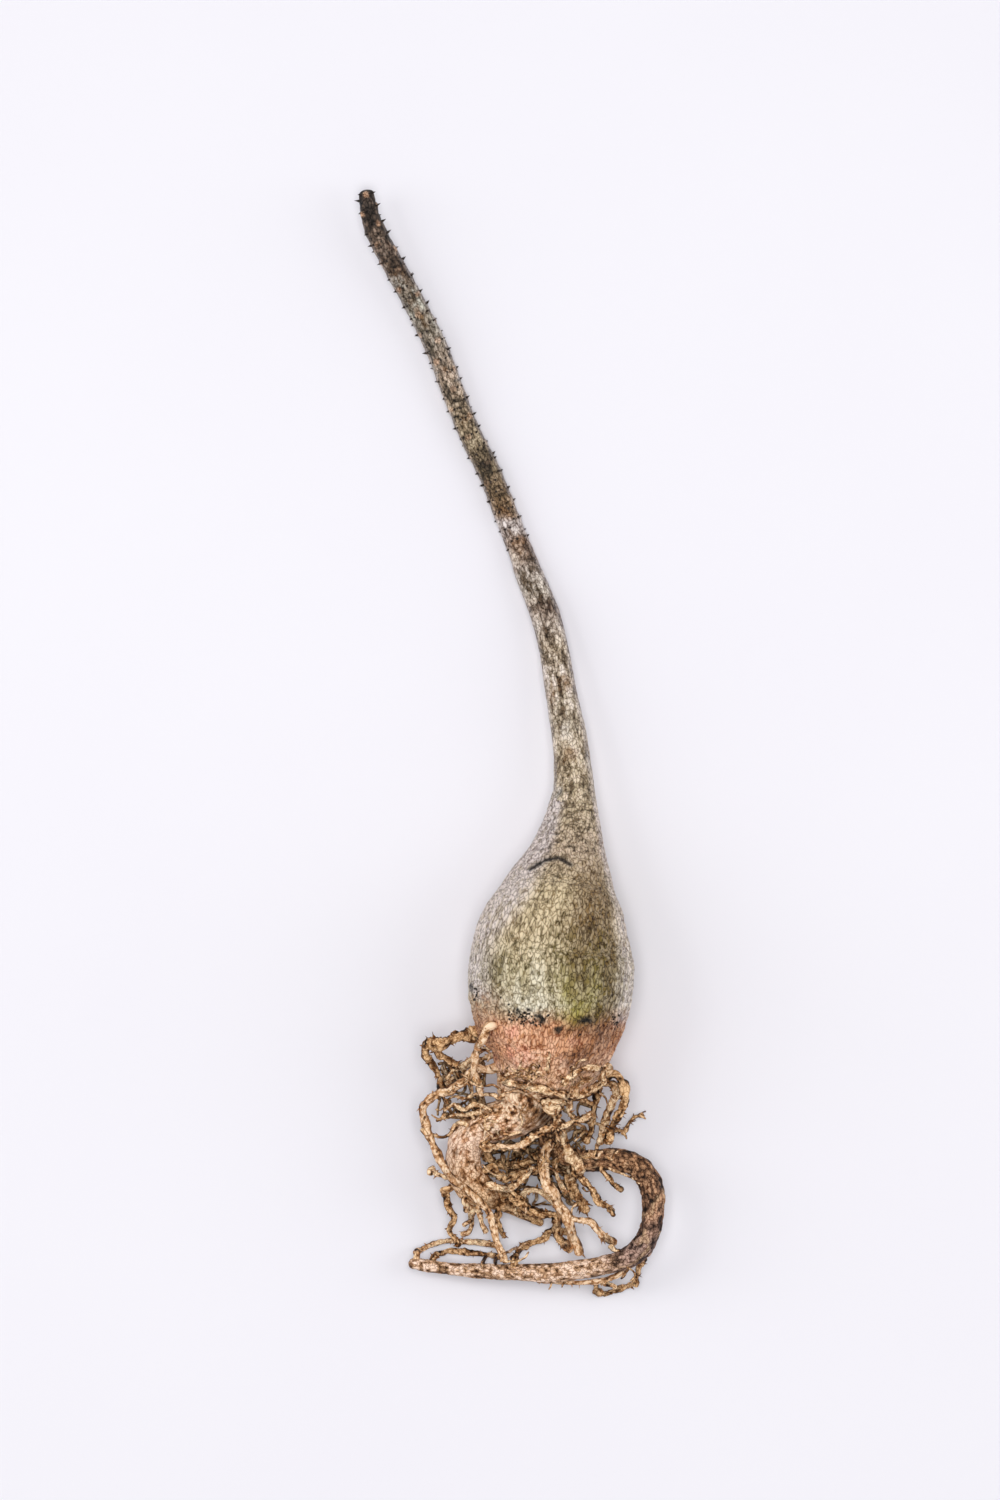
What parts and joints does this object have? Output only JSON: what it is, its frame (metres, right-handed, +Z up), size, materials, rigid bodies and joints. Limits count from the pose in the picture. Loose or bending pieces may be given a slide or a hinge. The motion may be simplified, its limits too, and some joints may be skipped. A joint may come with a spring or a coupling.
{
  "type": "bare-root pachypodium",
  "caption": "Bare-root succulent lying on its side: swollen caudex, one long thin leafless stem, twisted taproot, hooked root and a tangle of side roots.",
  "frame": {"origin": "on the surface that the plant lies on, under the middle of its bounding box", "axes": "+Y from the roots to the tip of the stem, +X across the plant, +Z up from the surface"},
  "size_m": [0.0916, 0.3324, 0.0496],
  "materials": {
    "caudex_bark": "matte grey-green bark, pitted and finely wrinkled",
    "hook_bark": "rough mottled brown root bark",
    "pale_root": "smooth pale tan root skin",
    "tan_root": "rough tan root skin with dry soil",
    "dark_root": "dark brown root skin with dry soil"
  },
  "bodies": {
    "root": {"caudex_and_stem": "caudex_bark", "hooked_root": "hook_bark", "knotted_root": "dark_root", "upper_left_strand": "tan_root", "lower_left_strand": "tan_root", "long_pale_root": "pale_root", "front_pale_root": "pale_root", "top_brown_rootlet": "tan_root", "middle_brown_rootlet": "tan_root", "lower_brown_rootlet": "tan_root", "looped_rootlet": "tan_root", "curled_rootlet": "tan_root", "lower_left_root": "dark_root", "u_shaped_rootlet": "tan_root", "taproot_stub": "tan_root", "taproot_bud": "tan_root", "taproot_branch": "dark_root", "crown_cross_root": "tan_root", "crown_arch_root": "tan_root", "ring_root": "tan_root", "outer_right_root": "dark_root", "middle_right_root": "tan_root", "inner_right_root": "dark_root", "dark_stub_root": "dark_root", "zigzag_root": "tan_root", "central_root": "tan_root", "crossing_root": "tan_root", "forked_twig_root": "dark_root", "bud_tipped_root": "dark_root", "dark_thick_root": "dark_root", "front_hanging_root": "pale_root", "bridging_root": "tan_root", "bead_tipped_root": "dark_root", "club_root": "dark_root", "slender_root": "tan_root", "upper_return_strand": "tan_root", "lower_return_strand": "dark_root", "surface_strand": "dark_root", "lower_right_rootlet": "dark_root", "under_hook_root": "pale_root", "shaded_root": "dark_root", "inner_root": "dark_root", "crumbling_root": "tan_root"}
  },
  "joints": []
}
